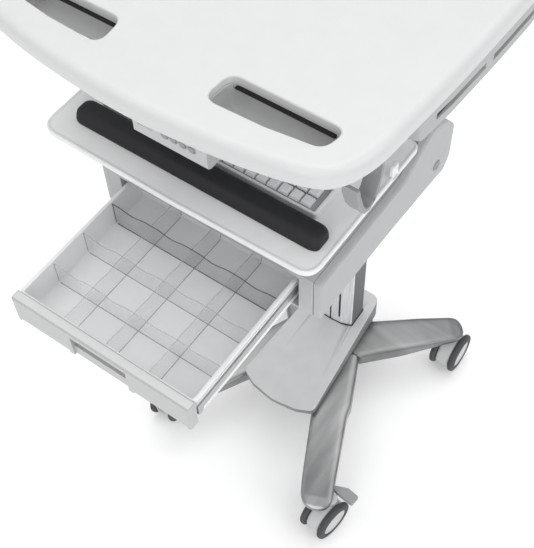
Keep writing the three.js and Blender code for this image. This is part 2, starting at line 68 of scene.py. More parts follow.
# ------------------------------------------------------------------ materials
def material(name, base, rough=0.45, metal=0.0, var=0.03, rvar=0.07, scale=35.0,
             bump=0.03, bscale=1500.0, coat=0.0, stretch=(1, 1, 1), alpha=1.0,
             trans=0.0, sss=0.0, spec=0.5, aniso=0.0, bdist=0.0006, emit=0.0):
    m = bpy.data.materials.new(name)
    m.use_nodes = True
    nt = m.node_tree
    b = nt.nodes["Principled BSDF"]
    tc = nt.nodes.new("ShaderNodeTexCoord")
    mp = nt.nodes.new("ShaderNodeMapping")
    mp.inputs["Scale"].default_value = stretch
    nt.links.new(tc.outputs["Object"], mp.inputs["Vector"])
    n1 = nt.nodes.new("ShaderNodeTexNoise")
    n1.inputs["Scale"].default_value = scale
    n1.inputs["Detail"].default_value = 4.0
    nt.links.new(mp.outputs["Vector"], n1.inputs["Vector"])
    ramp = nt.nodes.new("ShaderNodeValToRGB")
    lo = [max(0.0, c * (1 - var)) for c in base]
    hi = [min(1.0, c * (1 + var)) for c in base]
    ramp.color_ramp.elements[0].position = 0.3
    ramp.color_ramp.elements[0].color = (*lo, 1)
    ramp.color_ramp.elements[1].position = 0.7
    ramp.color_ramp.elements[1].color = (*hi, 1)
    nt.links.new(n1.outputs["Fac"], ramp.inputs["Fac"])
    nt.links.new(ramp.outputs["Color"], b.inputs["Base Color"])
    mr = nt.nodes.new("ShaderNodeMapRange")
    mr.inputs["To Min"].default_value = max(0.02, rough - rvar)
    mr.inputs["To Max"].default_value = min(1.0, rough + rvar)
    nt.links.new(n1.outputs["Fac"], mr.inputs["Value"])
    nt.links.new(mr.outputs["Result"], b.inputs["Roughness"])
    n2 = nt.nodes.new("ShaderNodeTexNoise")
    n2.inputs["Scale"].default_value = bscale
    n2.inputs["Detail"].default_value = 2.0
    nt.links.new(mp.outputs["Vector"], n2.inputs["Vector"])
    bp = nt.nodes.new("ShaderNodeBump")
    bp.inputs["Strength"].default_value = bump
    bp.inputs["Distance"].default_value = bdist
    b.inputs["Emission Color"].default_value = (1, 1, 1, 1)
    b.inputs["Emission Strength"].default_value = emit
    nt.links.new(n2.outputs["Fac"], bp.inputs["Height"])
    nt.links.new(bp.outputs["Normal"], b.inputs["Normal"])
    b.inputs["Metallic"].default_value = metal
    b.inputs["Coat Weight"].default_value = coat
    b.inputs["Coat Roughness"].default_value = 0.12
    b.inputs["Alpha"].default_value = alpha
    b.inputs["Transmission Weight"].default_value = trans
    b.inputs["Subsurface Weight"].default_value = sss
    b.inputs["Subsurface Radius"].default_value = (0.004, 0.004, 0.004)
    b.inputs["Specular IOR Level"].default_value = spec
    b.inputs["Anisotropic"].default_value = aniso
    return m


M = {
    "white": material("white_shell", (0.66, 0.663, 0.667), 0.36, bump=0.05, var=0.012, sss=0.08),
    # painted light: the tray's white is brighter than the worksurface's white, to lift the shade the worksurface casts
    # on the tray
    "tray": material("tray_white_painted_light", (0.86, 0.863, 0.867), 0.42, bump=0.10, bscale=2200, var=0.015),
    "light": material("light_plastic", (0.56, 0.565, 0.57), 0.46, bump=0.14, bscale=1800),
    # painted shade: darker copy of the light plastic for the base shroud's steep sides
    "shroud_side": material("base_cover_flank_painted_shade", (0.25, 0.252, 0.256), 0.5, bump=0.14, bscale=1800),
    "gray": material("gray_plastic", (0.45, 0.455, 0.46), 0.5, bump=0.18, bscale=1800),
    "mid": material("mid_gray_plastic", (0.32, 0.33, 0.34), 0.52, bump=0.2, bscale=1800),
    "darkgray": material("dark_gray_plastic", (0.10, 0.103, 0.108), 0.5, bump=0.2, bscale=1800),
    "black": material("black_plastic", (0.008, 0.008, 0.009), 0.45, bump=0.15, bscale=1800, spec=0.25),
    "rubber": material("black_rubber", (0.014, 0.014, 0.016), 0.75, bump=0.3, bscale=1200),
    "foam": material("foam_skin", (0.011, 0.0115, 0.014), 0.62, var=0.18, rvar=0.08, scale=300, bump=0.35, bscale=900),
    "cast": material("cast_metal", (0.34, 0.342, 0.345), 0.34, metal=1.0, var=0.2, rvar=0.08, scale=16,
                     bump=0.3, bscale=9, bdist=0.006, stretch=(2.2, 0.35, 1)),
    # painted shade: darker copy of the cast metal for the rear legs, which lie in shade under the cart
    "rear_leg_shade_metal": material("rear_leg_metal_painted_shade", (0.25, 0.252, 0.255), 0.36, metal=1.0, var=0.2, rvar=0.08, scale=16,
                          bump=0.3, bscale=9, bdist=0.006, stretch=(0.35, 2.2, 1)),
    "hub": material("hub_paint", (0.3, 0.31, 0.32), 0.45, metal=0.6, bump=0.3, bscale=500),
    # painted shade: dark copy of the column metal for the column's left and right faces
    "column_side": material("column_flank_painted_shade", (0.14, 0.142, 0.145), 0.5, metal=0.2, var=0.04, bump=0.1),
    "column": material("column_metal", (0.86, 0.875, 0.90), 0.2, metal=0.55, var=0.14, rvar=0.06, scale=60,
                       bump=0.05, bscale=400, stretch=(9, 9, 0.25), aniso=0.35),
    "tyre": material("tyre_tread", (0.065, 0.066, 0.07), 0.7, bump=0.3, bscale=700),
    "disc": material("wheel_disc", (0.62, 0.622, 0.626), 0.42, bump=0.12, bscale=1800),
    "drawer": material("drawer_shell", (0.83, 0.833, 0.838), 0.3, var=0.02, bump=0.06, bscale=900, sss=0.25, coat=0.25),
    "front": material("drawer_front", (0.47, 0.473, 0.477), 0.36, var=0.015, bump=0.08, bscale=1500, coat=0.1),
    "clear": material("clear_divider", (0.72, 0.73, 0.74), 0.22, var=0.03, rvar=0.03, bump=0.01, bscale=120, alpha=0.09, coat=0.15),
    # painted edge shade: gray, more opaque copy of the clear plastic on the walls' thin edge faces, standing in for the
    # line light draws along a clear sheet's edge
    "clear_wall_edge_shade": material("clear_wall_painted_edge_line", (0.40, 0.42, 0.44), 0.12, var=0.04, bump=0.04, bscale=300, alpha=0.5, coat=0.5),
    # painted shade: darker, more opaque copy of the clear plastic for the rearmost long wall, which lies in the tray's
    # shade; its edge copy is near black
    "rear_wall_shade": material("smoke_divider", (0.40, 0.42, 0.44), 0.22, var=0.05, rvar=0.03, bump=0.01, bscale=120, alpha=0.2, coat=0.15),
    "rear_wall_edge_shade": material("rear_wall_painted_edge_shade", (0.06, 0.065, 0.07), 0.2, var=0.1, bump=0.04, bscale=300, alpha=0.92),
    "runner": material("runner_metal", (0.42, 0.43, 0.44), 0.33, metal=0.9, var=0.08, scale=80, stretch=(1, 0.1, 1), bump=0.08),
    "key": material("key_caps", (0.80, 0.81, 0.825), 0.45, bump=0.16, bscale=2400),
    "well": material("grip_well_plastic", (0.45, 0.452, 0.455), 0.5, bump=0.14, bscale=1800),
    "keybed": material("key_bed", (0.36, 0.37, 0.38), 0.55, bump=0.2, bscale=1800),
    "cover": material("side_cover_plastic", (0.44, 0.45, 0.46), 0.45, bump=0.14, bscale=1800),
    "steel": material("screw_steel", (0.5, 0.51, 0.52), 0.28, metal=1.0, scale=120, bump=0.1, bscale=600),
}


# ------------------------------------------------------------------ mesh tools
def finish_obj(bm, name, mats, angle=32.0, weighted=True):
    bmesh.ops.remove_doubles(bm, verts=bm.verts, dist=1e-6)
    bmesh.ops.recalc_face_normals(bm, faces=bm.faces)
    me = bpy.data.meshes.new(name)
    for f in bm.faces:
        f.smooth = True
    bm.to_mesh(me)
    bm.free()
    me.set_sharp_from_angle(angle=math.radians(angle))
    o = bpy.data.objects.new(name, me)
    bpy.context.scene.collection.objects.link(o)
    if not isinstance(mats, (list, tuple)):
        mats = [mats]
    for m in mats:
        me.materials.append(m)
    if weighted:
        w = o.modifiers.new("wn", "WEIGHTED_NORMAL")
        w.keep_sharp = True
        w.weight = 80
    return o


def place(o, nodes, body=None, slot=None):
    """Puts o on the body of the nodes it stands for."""
    if isinstance(nodes, str):
        nodes = [nodes]
    body = body or BODY_OF[nodes[0]]
    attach(o, body)
    if nodes:
        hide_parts(*nodes)
        slot = slot or SLOT_OF[nodes[0]]
    return o


def detail(o, body):
    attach(o, body)
    return o


def round_poly(points, seg=8):
    out, n = [], len(points)
    for i in range(n):
        p = points[i]
        r = p[2] if len(p) > 2 else 0
        px, py = p[0], p[1]
        if not r:
            out.append((px, py))
            continue
        a, b = points[i - 1], points[(i + 1) % n]
        ua = Vector((a[0] - px, a[1] - py))
        ub = Vector((b[0] - px, b[1] - py))
        la, lb = ua.length, ub.length
        ua.normalize()
        ub.normalize()
        ang = math.acos(max(-1, min(1, ua.dot(ub))))
        t = min(r / math.tan(ang / 2), la * 0.49, lb * 0.49)
        p0 = (px + ua.x * t, py + ua.y * t)
        p1 = (px + ub.x * t, py + ub.y * t)
        for k in range(seg + 1):
            s = k / seg
            w0, w1, w2 = (1 - s) ** 2, 2 * s * (1 - s), s * s
            out.append((w0 * p0[0] + w1 * px + w2 * p1[0], w0 * p0[1] + w1 * py + w2 * p1[1]))
    return out


def spline(points, per=6):
    """Closed Catmull-Rom curve through the points."""
    out, n = [], len(points)
    for i in range(n):
        p0, p1, p2, p3 = points[i - 1], points[i], points[(i + 1) % n], points[(i + 2) % n]
        for k in range(per):
            t = k / per
            out.append(tuple(
                0.5 * ((2 * p1[j]) + (-p0[j] + p2[j]) * t + (2 * p0[j] - 5 * p1[j] + 4 * p2[j] - p3[j]) * t * t
                       + (-p0[j] + 3 * p1[j] - 3 * p2[j] + p3[j]) * t ** 3) for j in (0, 1)))
    return out


def area(pts):
    return 0.5 * sum(pts[i - 1][0] * pts[i][1] - pts[i][0] * pts[i - 1][1] for i in range(len(pts)))


def inset(pts, d):
    if abs(d) < 1e-9:
        return list(pts)
    out, n = [], len(pts)
    for i in range(n):
        a, p, b = pts[i - 1], pts[i], pts[(i + 1) % n]
        t1 = Vector((p[0] - a[0], p[1] - a[1]))
        t2 = Vector((b[0] - p[0], b[1] - p[1]))
        if t1.length < 1e-9 or t2.length < 1e-9:
            out.append((p[0], p[1]))
            continue
        t1.normalize()
        t2.normalize()
        n1, n2 = Vector((-t1.y, t1.x)), Vector((-t2.y, t2.x))
        m = n1 + n2
        if m.length < 1e-6:
            m = n1.copy()
        m.normalize()
        k = d / max(0.6, m.dot(n1))
        out.append((p[0] + m.x * k, p[1] + m.y * k))
    return out


def arc_profile(z0, z1, r0, r1, seg=6):
    """(inset, z) pairs from the bottom up, with rounded edges of radius r0 and r1."""
    prof = []
    for k in range(seg + 1):
        a = math.pi / 2 * k / seg
        prof.append((r0 * (1 - math.sin(a)), z0 + r0 * (1 - math.cos(a))))
    for k in range(seg + 1):
        a = math.pi / 2 * k / seg
        prof.append((r1 * (1 - math.cos(a)), z1 - r1 * (1 - math.sin(a))))
    return prof


def prism(name, outline, prof, mats, holes=(), hole_prof=None, to3=None, angle=32.0, caps=(True, True), top_mat=0):
    """Closed solid: outline lofted through prof, with holes; to3 maps (u, v, w) in mm to a point."""
    to3 = to3 or (lambda u, v, w: P(u, v, w))
    if area(outline) < 0:
        outline = outline[::-1]
    bm = bmesh.new()
    loops = [(outline, prof, 1)] + [((h if area(h) > 0 else h[::-1]), hole_prof or prof, -1) for h in holes]
    bottoms, tops = [], []
    for pts, pr, sgn in loops:
        prev = None
        for d, z in pr:
            ring = [bm.verts.new(to3(q[0], q[1], z(q[0], q[1]) if callable(z) else z)) for q in inset(pts, d * sgn)]
            n = len(ring)
            if prev is not None:
                for i in range(n):
                    j = (i + 1) % n
                    bm.faces.new((prev[i], prev[j], ring[j], ring[i]))
            else:
                first = ring
            prev = ring
        bottoms.append(first)
        tops.append(prev)
    for rings, want in ((bottoms, caps[0]), (tops, caps[1])):
        if not want:
            continue
        if len(rings) == 1:
            f = bm.faces.new(rings[0])
            f.material_index = top_mat if rings is tops else 0
        else:
            edges = []
            for r in rings:
                for i in range(len(r)):
                    e = bm.edges.get((r[i], r[(i + 1) % len(r)]))
                    edges.append(e)
            bmesh.ops.triangle_fill(bm, use_beauty=True, use_dissolve=False, edges=edges)
    return finish_obj(bm, name, mats, angle)


def side3(x0):
    return lambda u, v, w: P(w, u, v)


def skin(name, rings, mats, caps=True, closed=False, angle=40.0, weighted=True):
    bm = bmesh.new()
    vr = [[bm.verts.new(p) for p in r] for r in rings]
    n = len(vr[0])
    m = len(vr)
    for k in range(m if closed else m - 1):
        a, b = vr[k], vr[(k + 1) % m]
        for i in range(n):
            j = (i + 1) % n
            bm.faces.new((a[i], a[j], b[j], b[i]))
    if caps and not closed:
        bm.faces.new(vr[0])
        bm.faces.new(vr[-1])
    return finish_obj(bm, name, mats, angle, weighted)


def lathe(name, prof, centre, axis, mats, seg=64, angle=35.0):
    """prof: (radius mm, height mm) from end to end; both ends may sit on the axis."""
    ax = Vector(axis).normalized()
    q = Vector((0, 0, 1)).rotation_difference(ax)
    c = Vector(centre)
    bm = bmesh.new()
    rings = []
    for r, h in prof:
        if r < 1e-6:
            rings.append([bm.verts.new(c + q @ Vector((0, 0, h / 1000.0)))])
        else:
            rings.append([bm.verts.new(c + q @ Vector((r / 1000.0 * math.cos(2 * math.pi * i / seg),
                                                       r / 1000.0 * math.sin(2 * math.pi * i / seg), h / 1000.0)))
                          for i in range(seg)])
    pairs = list(zip(rings[:-1], rings[1:]))
    if prof[0][0] > 1e-6 and prof[-1][0] > 1e-6:
        pairs.append((rings[-1], rings[0]))
    for a, b in pairs:
        for i in range(seg):
            j = (i + 1) % seg
            if len(a) == 1 and len(b) == 1:
                continue
            if len(a) == 1:
                bm.faces.new((a[0], b[i], b[j]))
            elif len(b) == 1:
                bm.faces.new((a[i], b[0], a[j]))
            else:
                bm.faces.new((a[i], b[i], b[j], a[j]))
    return finish_obj(bm, name, mats, angle)


def add_box(bm, x0, x1, y0, y1, z0, z1, r=0.0, seg=2, taper=0.0, zf=None):
    """Bevelled box in mm added to bm; taper draws the top in."""
    vs = []
    for z, t in ((z0, 0.0), (z1, taper)):
        for x, y in ((x0 + t, y0 + t), (x1 - t, y0 + t), (x1 - t, y1 - t), (x0 + t, y1 - t)):
            vs.append(bm.verts.new(P(x, y, z + (zf(x, y) if zf else 0))))
    a, b, c, d, e, f, g, h = vs
    fs = [bm.faces.new(q) for q in ((a, d, c, b), (e, f, g, h), (a, b, f, e), (b, c, g, f), (c, d, h, g), (d, a, e, h))]
    if r:
        edges = list({ed for fc in fs for ed in fc.edges})
        bmesh.ops.bevel(bm, geom=edges, offset=r / 1000.0, segments=seg, profile=0.5, affect="EDGES", clamp_overlap=True)


def rbox(name, x0, x1, y0, y1, z0, z1, r, mats, seg=3):
    bm = bmesh.new()
    add_box(bm, x0, x1, y0, y1, z0, z1, r, seg)
    return finish_obj(bm, name, mats)


def cut(o, *boxes):
    """Cuts boxes (mm) out of o."""
    bm = bmesh.new()
    for b in boxes:
        add_box(bm, *b)
    bmesh.ops.recalc_face_normals(bm, faces=bm.faces)
    me = bpy.data.meshes.new("cutter")
    bm.to_mesh(me)
    bm.free()
    c = bpy.data.objects.new("cutter", me)
    bpy.context.scene.collection.objects.link(c)
    md = o.modifiers.new("cut", "BOOLEAN")
    md.object = c
    md.operation = "DIFFERENCE"
    md.solver = "EXACT"
    bpy.context.view_layer.update()
    dg = bpy.context.evaluated_depsgraph_get()
    new = bpy.data.meshes.new_from_object(o.evaluated_get(dg))
    o.modifiers.clear()
    o.data = new
    new.set_sharp_from_angle(angle=math.radians(32))
    bpy.data.objects.remove(c, do_unlink=True)
    return o


def cut_low(o, centre, level):
    """Removes what is below level (m) from a solid near centre, and closes it."""
    bm = bmesh.new()
    bm.from_mesh(o.data)
    geom = bm.verts[:] + bm.edges[:] + bm.faces[:]
    res = bmesh.ops.bisect_plane(bm, geom=geom, plane_co=(centre.x, centre.y, level), plane_no=(0, 0, -1), clear_outer=True)
    edges = [e for e in res["geom_cut"] if isinstance(e, bmesh.types.BMEdge)]
    bmesh.ops.triangle_fill(bm, use_beauty=True, use_dissolve=False, edges=edges)
    bmesh.ops.recalc_face_normals(bm, faces=bm.faces)
    bm.to_mesh(o.data)
    bm.free()
    o.data.set_sharp_from_angle(angle=math.radians(32))
    return o


def bevel_mod(o, width, seg=3, angle=35.0):
    b = o.modifiers.new("bevel", "BEVEL")
    b.width = width / 1000.0
    b.segments = seg
    b.limit_method = "ANGLE"
    b.angle_limit = math.radians(angle)
    b.harden_normals = False
    b.use_clamp_overlap = True
    w = o.modifiers.new("wn", "WEIGHTED_NORMAL")
    w.keep_sharp = False
    w.weight = 80


def dress(node, mat, width=0.8, seg=2, angle=35.0):
    """Finishes a CAD node that is shown as it is."""
    o = NODES[node]
    o.data.materials.clear()
    o.data.materials.append(mat)
    for p in o.data.polygons:
        p.use_smooth = True
    wd = o.modifiers.new("weld", "WELD")
    wd.merge_threshold = 1e-5
    bevel_mod(o, width, seg, angle)
    return o


# ------------------------------------------------------------------ worksurface
WS_HALF = [(0, 109), (60, 111.5), (112, 116), (163, 123), (210, 133), (236, 143), (251, 157), (262, 178), (270, 210),
           (274, 262), (280, 350), (284, 450), (286, 520), (285, 562), (276, 584), (256, 595), (0, 596)]
ctrl = WS_HALF + [(-x, y) for x, y in WS_HALF[-2:0:-1]]


def limit(pts, x, y0, y1):
    return [(max(-x, min(x, p[0])), max(y0, min(y1, p[1]))) for p in pts]


ws_outline = limit(spline(ctrl, 7), 285.9, 109, 596)
hole_pts = round_poly([(73, 160, 16), (150, 163, 40), (218, 172, 18), (226, 206, 14), (77, 206, 16)], 10)
hole_l = [(-x, y) for x, y in hole_pts][::-1]
ws = prism("worktop_panel", ws_outline, arc_profile(1166.4, WS_TOP, 8, 13, 8), M["white"],
           holes=[hole_pts, hole_l], hole_prof=arc_profile(1166.4, WS_TOP, 1.2, 2.6, 4))
place(ws, "worksurface")
for tag, pts, s in (("right", hole_pts, 1), ("left", hole_l, -1)):
    ccw = pts if area(pts) > 0 else pts[::-1]
    sleeve = prism("grip_well_" + tag, inset(ccw, -2.9), [(0.8, 1134.2), (0, 1135.2), (0, 1167.0), (2.95, 1167.3), (3.0, 1186.4)], M["well"],
                   holes=[inset(ccw, 1.6)], hole_prof=[(0.8, 1134.2), (0, 1135.2), (0, 1185.4), (1.0, 1186.4)])
    x0, x1 = (82, 216) if s > 0 else (-216, -82)
    sleeve = cut(sleeve, (x0, x1, 196, 215, 1179.2, 1190))
    detail(sleeve, "lift_head")
    lv = rbox("release_bar_" + tag, (84 if s > 0 else -214), (214 if s > 0 else -84), 201, 212, 1179.8, 1183, 1.2, M["black"], 4)
    place(lv, "release_lever_" + tag)

# side rails, with black boxes inside their slots as painted shade
rail_pts = [(252, 286), (270, 290, 8), (276, 350), (281, 450), (283, 520), (282, 556, 8), (262, 556)]
for tag, s in (("right", 1), ("left", -1)):
    dress("side_rail_" + tag, M["gray"], 1.4, 3)
    for i, (ya, yb, xa, xb) in enumerate(((319, 417, 268.4, 271.5), (435, 529, 272.6, 275.6))):
        # black box set inside the rail behind each slot opening: painted shade in the slot
        bm = bmesh.new()
        x0, x1 = sorted((s * xa, s * xb))
        add_box(bm, x0, x1, ya, yb, 1140.4, 1149.6, 0.8, 2)
        detail(finish_obj(bm, "rail_slot_shade_box_%s_%d" % (tag, i + 1), M["black"]), "lift_head")

# ------------------------------------------------------------------ keypad module and hook
dress("keypad_module", M["light"], 2.2, 4)
for i, x in enumerate((-4, 9.6, 23.2, 36.8)):
    b = lathe("keypad_cap_%d" % (i + 1),
              [(0, 0), (4.9, 0), (4.9, 3.2), (4.5, 4.3), (3.6, 4.75), (2.4, 4.45), (0, 4.2)],
              P(x, 175.0, 1077), (0, -1, 0), M["mid"], 36)
    place(b, "keypad_button_%d" % (i + 1))
    bez = lathe("keypad_ring_%d" % (i + 1), [(5.4, 0), (6.6, 0), (6.6, 0.5), (6.1, 0.9), (5.4, 0.7)],
                P(x, 172.05, 1077), (0, -1, 0), M["gray"], 36)
    detail(bez, "lift_head")
lens = rbox("keypad_lens", -45.4, -24.6, 171.9, 173.4, 1072.6, 1080.4, 0.6, M["light"])
detail(lens, "lift_head")
dress("accessory_hook", M["mid"], 1.3, 3)
dress("head_bracket", M["gray"], 1.5, 2)

# ------------------------------------------------------------------ keyboard tray
tray_pts = round_poly([(-216, 157, 26), (0, 154.2, 400), (216, 157, 26), (216, 410, 14), (-216, 410, 14)], 12)
tray_prof = [(2.6, TRAY_Z - TRAY_T), (0.9, TRAY_Z - TRAY_T + 0.8), (0.1, TRAY_Z - TRAY_T + 2.4), (0.1, TRAY_Z - 0.6),
             (0.3, TRAY_Z + 0.4), (1.0, TRAY_Z + 1.1), (2.0, TRAY_Z + 1.3), (3.2, TRAY_Z + 1.1), (4.1, TRAY_Z + 0.4),
             (4.8, TRAY_Z), (7.0, TRAY_Z)]
tray = prism("tray_panel", tray_pts, tray_prof, M["tray"])
place(tray, "keyboard_tray")
ear_pts = round_poly([(341, TRAY_Z - 4), (341, TRAY_Z + 20, 3), (354, TRAY_Z + 20, 3), (354, TRAY_Z - 4)], 5)
for tag, s in (("right", 1), ("left", -1)):
    e = prism("tray_ear_" + tag, ear_pts, [(1.2, 0), (0, 1.2), (0, 4.8), (1.2, 6)], M["tray"],
              to3=lambda u, v, w, s=s: P(s * (209.9 + w), u, v))
    detail(e, "lift_head")

# wrist rest: one foam bar with a skin
SECTION = [(-16.4, 0.4), (-16.8, 3), (-16.2, 7), (-14.6, 11.2), (-12.8, 14.4), (-11.4, 16.6), (-10.2, 18.0), (-8.4, 19.0), (-4, 19.7),
           (2, 19.9), (8, 19.7), (12, 18.9), (15, 17.2), (17.2, 14.0), (18.6, 9), (19, 3), (18.6, 0.4), (8, 0.3), (-8, 0.3)]
REST_X0, REST_X1, REST_R = -185.0, 201.0, 15.0
stations = [(REST_X0 + REST_R * (1 - math.sin(a)), math.cos(a)) for a in [math.pi / 2 * (1 - k / 12) for k in range(13)]]
rings = []
for d, f in stations:
    rings.append((d, max(0.02, f)))
rings += [(REST_X0 + REST_R + (REST_X1 - REST_X0 - 2 * REST_R) * k / 30, 1.0) for k in range(1, 30)]
rings += [(REST_X0 + REST_X1 - d, max(0.02, f)) for d, f in stations[::-1]]
rest = skin("wrist_rest_foam", [[P(x, 206 + yy * (0.45 + 0.55 * f ** 0.8), TRAY_Z + max(0.3, zz * (0.55 + 0.45 * f ** 0.7))) for yy, zz in SECTION]
                                for x, f in rings], M["foam"], angle=75, weighted=False)
place(rest, "wrist_rest")

# ------------------------------------------------------------------ keyboard
KB = 173.0


def kb_top(x, y):
    return 11 + (y - 231) * (6.0 / 141)


kb_pts = round_poly([(-KB, 231, 6), (KB, 231, 6), (KB, 372, 6), (-KB, 372, 6)], 6)
well = round_poly([(-KB + 5, 235, 2), (KB - 5, 235, 2), (KB - 5, 346, 2), (-KB + 5, 346, 2)], 4)
kb = prism("keyboard_case", kb_pts,
           [(1.5, TRAY_Z + 0.3), (0, TRAY_Z + 2.0), (0, lambda x, y: TRAY_Z + kb_top(x, y) - 3),
            (0.5, lambda x, y: TRAY_Z + kb_top(x, y) - 1.2), (1.6, lambda x, y: TRAY_Z + kb_top(x, y) - 0.3),
            (3.0, lambda x, y: TRAY_Z + kb_top(x, y))], M["key"],
           holes=[well], hole_prof=[(0, TRAY_Z + 0.35), (0, TRAY_Z + 2.0), (0, lambda x, y: TRAY_Z + kb_top(x, y) - 0.8),
                                    (0.2, lambda x, y: TRAY_Z + kb_top(x, y) - 0.3),
                                    (0.7, lambda x, y: TRAY_Z + kb_top(x, y))])
place(kb, "keyboard_body")
bed = bmesh.new()
slope = 4.7 / 111
bm = bmesh.new()
add_box(bm, -KB + 5.3, KB - 5.3, 235.4, 345.6, TRAY_Z + 0.6, TRAY_Z + 8.8, 0, 1, 0)
bed.free()
detail(finish_obj(bm, "keyboard_bed", M["keybed"]), "lift_head")
KP = 16.9
x0k = -19 * KP / 2
bm = bmesh.new()
for r in range(6):
    y0 = 237.4 + r * 17.9
    zz = TRAY_Z + 9.4 + (y0 - 235) * slope
    c = 0
    while c < 19:
        w = 1
        if r == 0 and c == 4:
            w = 6
        if r in (1, 2) and c == 0:
            w = 2
        if r == 1 and c == 12:
            w = 2
        xa, xb = x0k + c * KP + 0.7, x0k + (c + w) * KP - 0.7
        add_box(bm, xa, xb, y0 - 0.5, y0 + 15.1, zz - 0.4, zz + 4.8, 0.9, 2, 1.5)
        c += w
place(finish_obj(bm, "keyboard_caps", M["key"], 45), "keyboard_keys")

# ------------------------------------------------------------------ drawer
def rr(hx0, hx1, y0, y1, r, n=6):
    return round_poly([(hx0, y0, r), (hx1, y0, r), (hx1, y1, r), (hx0, y1, r)], n)


def tub_ring(dx, dy, z, r):
    return [P(x, y, z) for x, y in rr(-146 + dx, 146 - dx, dy, 252 - dy, max(0.8, r))]


rings = [tub_ring(4, 3, 784.2, 4), tub_ring(1.5, 1, 784.8, 5), tub_ring(0.3, 0, 787, 6), tub_ring(0, 0, 806, 6),
         tub_ring(0, 0, 828.6, 6), tub_ring(-0.4, 0, 829.6, 6), tub_ring(-2.4, 0, 830.0, 6), tub_ring(-2.9, 0, 830.8, 6),
         tub_ring(-2.9, 0, 834.6, 6), tub_ring(-2.3, 0.3, 835.6, 6), tub_ring(-1.3, 0.8, 836.0, 5.6),
         tub_ring(1.4, 1.6, 836.0, 5.0), tub_ring(2.5, 2.4, 835.5, 4.6), tub_ring(3.0, 3.0, 834.4, 4.0),
         tub_ring(3.0, 3.0, 790, 4.0), tub_ring(3.8, 3.8, 787.8, 3.4), tub_ring(6, 6, 787.0, 2.5)]
tub = skin("drawer_tray", rings, M["drawer"], caps=True, angle=50)
place(tub, "drawer_tub")
for tag, s in (("right", 1), ("left", -1)):
    dress("drawer_runner_" + tag, M["runner"], 0.5, 2)
    a, b = sorted((s * 146.05, s * 147.2))
    rib = rbox("tub_rib_" + tag, a, b, 3, 249, 820.6, 823.0, 0.5, M["drawer"])
    detail(rib, "drawer")
    rl = lathe("drawer_roller_" + tag, [(0, -1.05), (1.6, -1.05), (2.2, -0.6), (5.5, -0.8), (6.1, -0.4), (6.1, 0.5), (5.6, 0.95), (0, 0.95)],
               P(s * 147.45, 9, 800), (s, 0, 0), M["black"], 32)
    detail(rl, "drawer")
dress("drawer_front", M["front"], 1.6, 4)
trim = rbox("drawer_rim_strip", -148.6, 148.6, -13.2, -1.6, 836.6, 838.0, 0.6, M["white"])
detail(trim, "drawer")

zf = 787.3
zt = zf + 45
COLS, ROWS = (-72, 0, 72), (61, 123, 186)
inner = 142.6
xs = [-inner, *COLS, inner]
for i, y in enumerate(ROWS):
    top = []
    for k in range(len(xs) - 1):
        a, b = xs[k], xs[k + 1]
        w, m = (b - a) / 2 - 8, (a + b) / 2
        for j in range(17):
            t = -1 + 2 * j / 16
            top.append((m + w * t, zt - 2.3 * (1 + math.cos(math.pi * t))))
    outline = [(-inner, zt)] + top + [(inner, zt), (inner, zf), (-inner, zf)]
    bm = bmesh.new()
    f0 = [bm.verts.new(P(x, y - 0.8, z)) for x, z in outline]
    f1 = [bm.verts.new(P(x, y + 0.8, z)) for x, z in outline]
    bm.faces.new(f0)
    bm.faces.new(f1[::-1])
    n = len(f0)
    # edge faces take the second material: painted edge shade along the wall's cut edge
    for j in range(n):
        q = bm.faces.new((f0[j], f1[j], f1[(j + 1) % n], f0[(j + 1) % n]))
        q.material_index = 1
    # the rearmost long wall takes the darker copies: painted shade under the tray
    body_mat = M["rear_wall_shade"] if i == 2 else M["clear"]
    edge_mat = M["rear_wall_edge_shade"] if i == 2 else M["clear_wall_edge_shade"]
    place(finish_obj(bm, "bin_wall_long_%d" % (i + 1), [body_mat, edge_mat], weighted=False), "divider_long_%d" % (i + 1))
for i, x in enumerate(COLS):
    outline = [(3.4, zf), (248.6, zf), (248.6, zt - 0.5)]
    ys = [248.6, *ROWS[::-1], 3.4]
    for k in range(len(ys) - 1):
        a, b = ys[k], ys[k + 1]
        w, m = (a - b) / 2 - 7, (a + b) / 2
        for j in range(13):
            t = 1 - 2 * j / 12
            outline.append((m + w * t, zt - 0.5 - 1.2 * (1 + math.cos(math.pi * t))))
    outline.append((3.4, zt - 0.5))
    bm = bmesh.new()
    f0 = [bm.verts.new(P(x - 0.8, y, z)) for y, z in outline]
    f1 = [bm.verts.new(P(x + 0.8, y, z)) for y, z in outline]
    bm.faces.new(f0)
    bm.faces.new(f1[::-1])
    n = len(f0)
    # edge faces take the second material: painted edge shade along the wall's cut edge
    for j in range(n):
        q = bm.faces.new((f0[j], f1[j], f1[(j + 1) % n], f0[(j + 1) % n]))
        q.material_index = 1
    place(finish_obj(bm, "bin_wall_cross_%d" % (i + 1), [M["clear"], M["clear_wall_edge_shade"]], weighted=False), "divider_cross_%d" % (i + 1))

